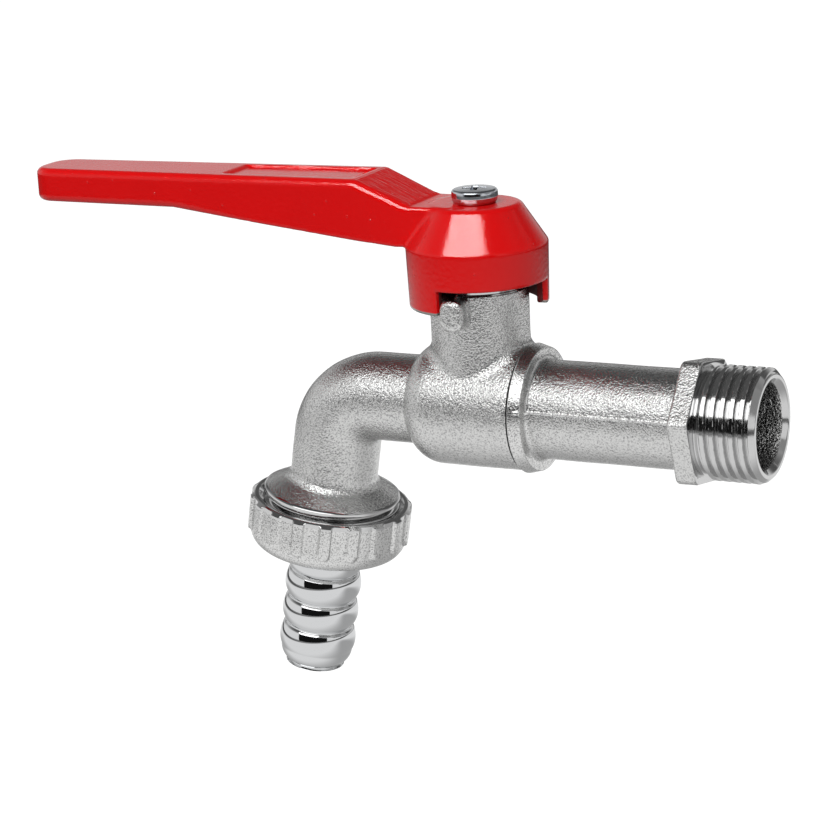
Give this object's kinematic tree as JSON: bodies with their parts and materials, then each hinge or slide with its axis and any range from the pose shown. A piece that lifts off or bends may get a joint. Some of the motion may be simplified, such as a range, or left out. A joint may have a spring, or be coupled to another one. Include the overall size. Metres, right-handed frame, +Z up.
{
  "type": "hose tap",
  "caption": "Quarter-turn ball-valve hose tap with a lever, a bent spout, a threaded inlet and a union nut that holds a barbed hose nozzle.",
  "frame": {"origin": "on the inlet pipe's axis, at the front face of the connector's hexagon, where the inlet thread starts", "axes": "+X out of the inlet along the pipe, +Z up along the valve stem, spout towards -X and down"},
  "size_m": [0.1506, 0.0316, 0.0985],
  "materials": {
    "nickel_cast": "satin nickel plate over blasted brass",
    "nickel_turned": "bright nickel plate over turned brass",
    "chrome": "polished chrome plate",
    "bare_brass": "turned",
    "ptfe": "smooth",
    "rubber": "matt",
    "red_paint": "gloss paint over die-cast metal",
    "zinc_steel": "bright zinc plate"
  },
  "bodies": {
    "valve_body": {"body": "nickel_cast", "inlet_connector": "nickel_cast", "body_seal_ring": "ptfe", "inlet_seat": "ptfe", "outlet_seat": "ptfe", "thrust_washer": "ptfe", "lower_packing_ring": "ptfe", "upper_packing_ring": "ptfe", "gland_nut": "nickel_turned"},
    "handle_set": {"lever_handle": "red_paint", "handle_screw": "zinc_steel", "stem": "bare_brass", "ball": "chrome"},
    "hose_tail": {"hose_nozzle": "chrome", "outlet_gasket": "rubber"},
    "union_nut": {"union_nut": "nickel_cast"}
  },
  "joints": [
    {"name": "handle_turn", "type": "hinge", "parent": "valve_body", "child": "handle_set", "pos_m": [-0.045, 0, 0], "axis": [0, 0, 1], "range_deg": [-90, 0]},
    {"name": "union_slide", "type": "slide", "parent": "valve_body", "child": "hose_tail", "axis": [-0.1736, 0, -0.9848], "range_m": [0, 0.0045]},
    {"name": "nut_spin", "type": "hinge", "parent": "hose_tail", "child": "union_nut", "pos_m": [-0.0796, 0, -0.0261], "axis": [-0.1736, 0, -0.9848], "range_deg": [0, 893.9]}
  ],
  "couplings": [
    {"joint": "nut_spin", "follows": "union_slide", "rad_per_m": 3463.2}
  ]
}
